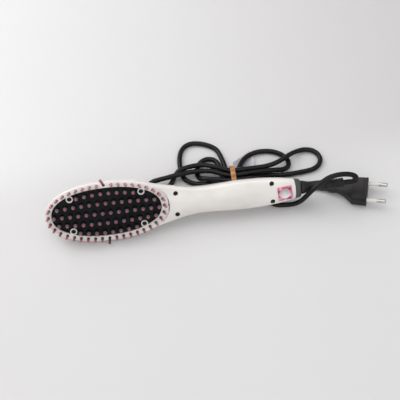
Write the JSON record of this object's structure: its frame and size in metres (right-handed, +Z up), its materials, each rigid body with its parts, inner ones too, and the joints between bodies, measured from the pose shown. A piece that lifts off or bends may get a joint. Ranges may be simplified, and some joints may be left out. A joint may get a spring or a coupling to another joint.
{
  "type": "heated styling brush",
  "caption": "Heated hair-straightening brush with a toothed oval heater plate, a ring of bristles, a swivelling cord boot and its mains cord tied in a hank.",
  "frame": {"origin": "on the table, under the middle of the brush without its cord", "axes": "+X along the handle from the head to the cord, +Y across, +Z up; the brush lies on the back of its head, its bristle face turned 50 degrees from the horizontal"},
  "size_m": [0.3357, 0.1067, 0.0532],
  "materials": {
    "pearl": "gloss, pearl white",
    "black": "gloss",
    "pink": "satin",
    "grey": "satin",
    "rubber": "matte",
    "steel": "satin",
    "ceramic": "matte ceramic",
    "mica": "matte mica",
    "board": "solder mask",
    "lens": "gloss, smoked",
    "foil": "pink foil",
    "tan": "matte",
    "film": "clear film",
    "ivory": "matte"
  },
  "bodies": {
    "handset": {"front_shell": "pearl", "back_shell": "pearl", "heater_plate": "black", "tip_comb": "pink", "bristle_ring": "pink", "heater_strip_1": "ceramic", "heater_strip_2": "ceramic", "insulation_sheet": "mica", "clamp_plate": "steel", "thermal_fuse": "steel", "temperature_sensor": "ceramic", "control_board": "board", "display_module": "black", "display_lens": "lens", "power_switch": "steel", "minus_switch": "steel", "plus_switch": "steel", "end_collar": "grey", "contact_block": "black", "foil_seal": "foil", "screw_1": "steel", "screw_2": "steel", "screw_3": "steel", "screw_4": "steel", "screw_5": "steel", "screw_6": "steel", "screw_7": "steel", "screw_8": "steel", "cord_hank": "rubber", "hank_band": "tan", "hank_film": "film", "plug_body": "rubber", "plug_pin_1": "steel", "pin_sleeve_1": "ivory", "plug_pin_2": "steel", "pin_sleeve_2": "ivory", "cord_lead": "rubber", "plug_lead": "rubber"},
    "cord_swivel": {"cord_swivel": "rubber"},
    "power_button": {"power_button": "black"},
    "minus_button": {"minus_button": "black"},
    "plus_button": {"plus_button": "black"}
  },
  "joints": [
    {"name": "cord_turn", "type": "hinge", "parent": "handset", "child": "cord_swivel", "pos_m": [0.10259, 0.00188, 0.02472], "axis": [1, 0, 0], "continuous": true},
    {"name": "power_press", "type": "slide", "parent": "handset", "child": "power_button", "axis": [0, -0.766, 0.6428], "range_m": [0, 0.0006], "stiffness_N_per_m": 900},
    {"name": "minus_press", "type": "slide", "parent": "handset", "child": "minus_button", "axis": [0, -0.766, 0.6428], "range_m": [0, 0.0006], "stiffness_N_per_m": 900},
    {"name": "plus_press", "type": "slide", "parent": "handset", "child": "plus_button", "axis": [0, -0.766, 0.6428], "range_m": [0, 0.0006], "stiffness_N_per_m": 900}
  ]
}
